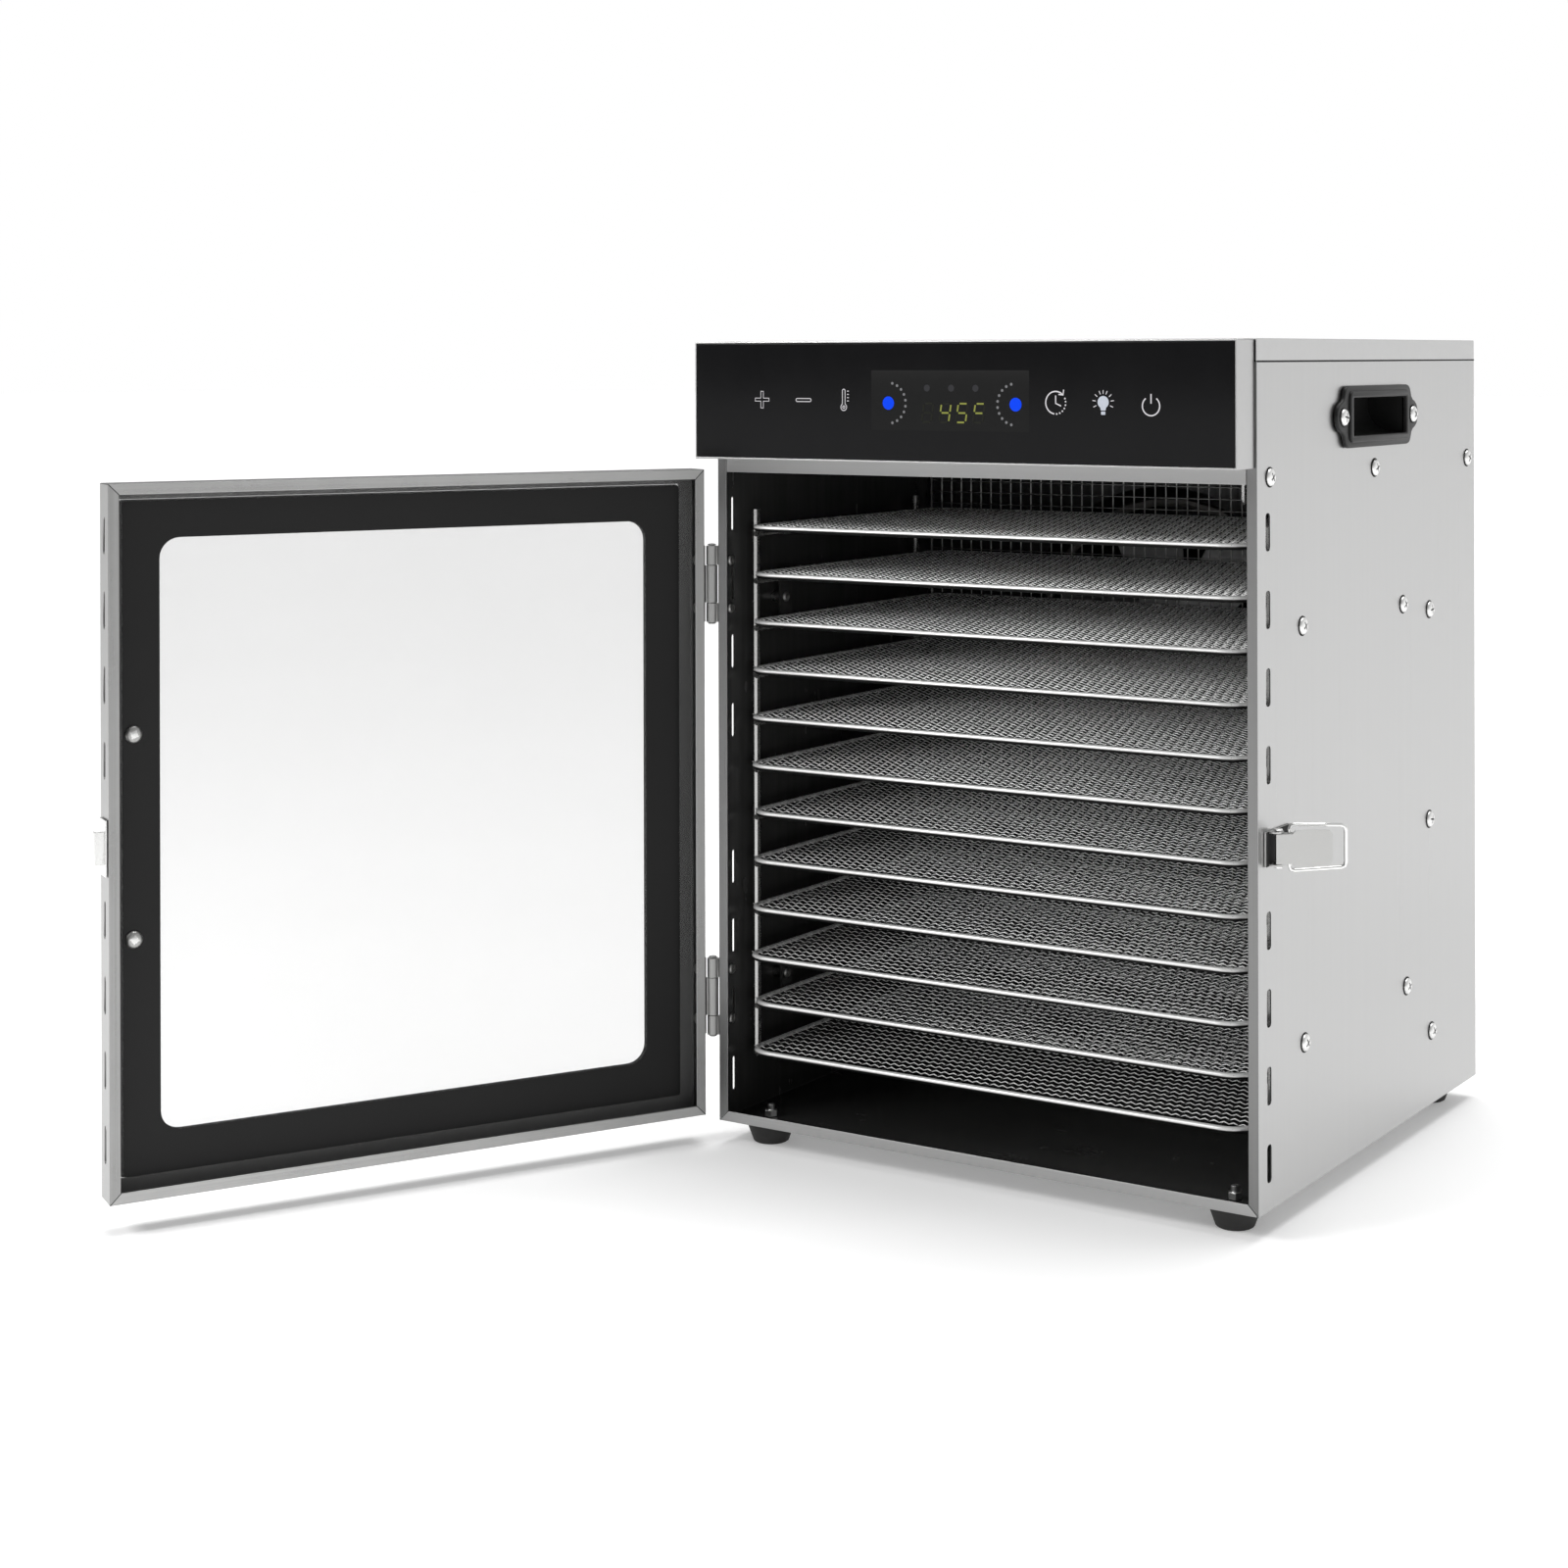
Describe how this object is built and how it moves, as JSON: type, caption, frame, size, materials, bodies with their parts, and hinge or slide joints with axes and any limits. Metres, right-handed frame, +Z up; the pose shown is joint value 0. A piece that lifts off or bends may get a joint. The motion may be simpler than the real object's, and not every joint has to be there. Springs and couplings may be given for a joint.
{
  "type": "electric drying cabinet",
  "caption": "Electric food drying cabinet in brushed steel, with slide-out wire trays, a hinged glass door, a rear fan and heater, and a touch panel.",
  "frame": {"origin": "centre of the cabinet body in plan, on the plane that its four feet stand on", "axes": "+Z up; the front, with the door and the touch panel, faces -Y; +X is the right-hand side, with the latch"},
  "size_m": [0.6415, 0.699, 0.5145],
  "materials": {
    "brushed_sheet": "brushed stainless sheet, satin",
    "dark_sheet": "near-black glossy sheet",
    "bright_wire": "bright drawn stainless wire",
    "bright_hardware": "polished stainless",
    "motor_steel": "satin grey",
    "fan_aluminium": "satin pressed aluminium",
    "heater_sheath": "dark oxidised tube",
    "lamp_lens": "frosted",
    "black_glass": "black glass, mirror gloss",
    "door_glass": "clear tempered glass",
    "circuit_board": "solder-resist green",
    "black_plastic": "black moulded plastic, satin",
    "foot_rubber": "matt black rubber"
  },
  "bodies": {
    "cabinet": {"side_panel_left": "brushed_sheet", "side_panel_right": "brushed_sheet", "rear_panel": "brushed_sheet", "top_lid": "brushed_sheet", "header_rail": "brushed_sheet", "control_housing": "brushed_sheet", "base_panel": "dark_sheet", "chamber_ceiling": "dark_sheet", "fan_partition": "dark_sheet", "fan_guard": "bright_wire", "rack_left": "bright_wire", "rack_right": "bright_wire", "hinge_upper_cabinet_leaf": "bright_hardware", "hinge_upper_pin": "bright_hardware", "hinge_lower_cabinet_leaf": "bright_hardware", "hinge_lower_pin": "bright_hardware", "latch_base": "bright_hardware", "latch_pin": "bright_hardware", "motor_bracket": "bright_hardware", "temperature_probe": "bright_hardware", "foot_bolt_1": "bright_hardware", "foot_bolt_2": "bright_hardware", "foot_bolt_3": "bright_hardware", "foot_bolt_4": "bright_hardware", "fan_motor": "motor_steel", "heater_coil": "heater_sheath", "chamber_lamp": "lamp_lens", "control_glass": "black_glass", "display_board": "circuit_board", "power_board": "circuit_board", "carry_handle_left": "black_plastic", "carry_handle_right": "black_plastic", "power_inlet": "black_plastic", "foot_1": "foot_rubber", "foot_2": "foot_rubber", "foot_3": "foot_rubber", "foot_4": "foot_rubber"},
    "door": {"door_frame": "brushed_sheet", "door_glass": "door_glass", "door_handle": "bright_hardware", "door_strike": "bright_hardware", "hinge_upper_door_leaf": "bright_hardware", "hinge_lower_door_leaf": "bright_hardware"},
    "fan": {"fan_impeller": "fan_aluminium"},
    "latch_arm": {"latch_lever": "bright_hardware"},
    "latch_loop": {"latch_bail": "bright_hardware"},
    "tray_body_01": {"tray_01": "bright_wire"},
    "tray_body_02": {"tray_02": "bright_wire"},
    "tray_body_03": {"tray_03": "bright_wire"},
    "tray_body_04": {"tray_04": "bright_wire"},
    "tray_body_05": {"tray_05": "bright_wire"},
    "tray_body_06": {"tray_06": "bright_wire"},
    "tray_body_07": {"tray_07": "bright_wire"},
    "tray_body_08": {"tray_08": "bright_wire"},
    "tray_body_09": {"tray_09": "bright_wire"},
    "tray_body_10": {"tray_10": "bright_wire"},
    "tray_body_11": {"tray_11": "bright_wire"},
    "tray_body_12": {"tray_12": "bright_wire"}
  },
  "joints": [
    {"name": "door_hinge", "type": "hinge", "parent": "cabinet", "child": "door", "pos_m": [-0.1928, -0.1792, 0.2255], "axis": [0, 0, -1], "range_deg": [-118.85, 61.15]},
    {"name": "latch_lever_pivot", "type": "hinge", "parent": "cabinet", "child": "latch_arm", "pos_m": [0.193, -0.162, 0.2225], "axis": [0, 0, -1], "range_deg": [-50, 0]},
    {"name": "latch_bail_pivot", "type": "hinge", "parent": "latch_arm", "child": "latch_loop", "pos_m": [0.1974, -0.15635, 0.2225], "axis": [0, 0, -1], "range_deg": [0, 177.5]},
    {"name": "fan_spin", "type": "hinge", "parent": "cabinet", "child": "fan", "pos_m": [0, 0.098, 0.3025], "axis": [0, 1, 0], "continuous": true},
    {"name": "tray_slide_01", "type": "slide", "parent": "cabinet", "child": "tray_body_01", "axis": [0, -1, 0], "range_m": [0, 0.18]},
    {"name": "tray_slide_02", "type": "slide", "parent": "cabinet", "child": "tray_body_02", "axis": [0, -1, 0], "range_m": [0, 0.18]},
    {"name": "tray_slide_03", "type": "slide", "parent": "cabinet", "child": "tray_body_03", "axis": [0, -1, 0], "range_m": [0, 0.18]},
    {"name": "tray_slide_04", "type": "slide", "parent": "cabinet", "child": "tray_body_04", "axis": [0, -1, 0], "range_m": [0, 0.18]},
    {"name": "tray_slide_05", "type": "slide", "parent": "cabinet", "child": "tray_body_05", "axis": [0, -1, 0], "range_m": [0, 0.18]},
    {"name": "tray_slide_06", "type": "slide", "parent": "cabinet", "child": "tray_body_06", "axis": [0, -1, 0], "range_m": [0, 0.18]},
    {"name": "tray_slide_07", "type": "slide", "parent": "cabinet", "child": "tray_body_07", "axis": [0, -1, 0], "range_m": [0, 0.18]},
    {"name": "tray_slide_08", "type": "slide", "parent": "cabinet", "child": "tray_body_08", "axis": [0, -1, 0], "range_m": [0, 0.18]},
    {"name": "tray_slide_09", "type": "slide", "parent": "cabinet", "child": "tray_body_09", "axis": [0, -1, 0], "range_m": [0, 0.18]},
    {"name": "tray_slide_10", "type": "slide", "parent": "cabinet", "child": "tray_body_10", "axis": [0, -1, 0], "range_m": [0, 0.18]},
    {"name": "tray_slide_11", "type": "slide", "parent": "cabinet", "child": "tray_body_11", "axis": [0, -1, 0], "range_m": [0, 0.18]},
    {"name": "tray_slide_12", "type": "slide", "parent": "cabinet", "child": "tray_body_12", "axis": [0, -1, 0], "range_m": [0, 0.18]}
  ],
  "couplings": [
    {"joint": "latch_bail_pivot", "follows": "latch_lever_pivot", "ratio": -3.5488}
  ]
}
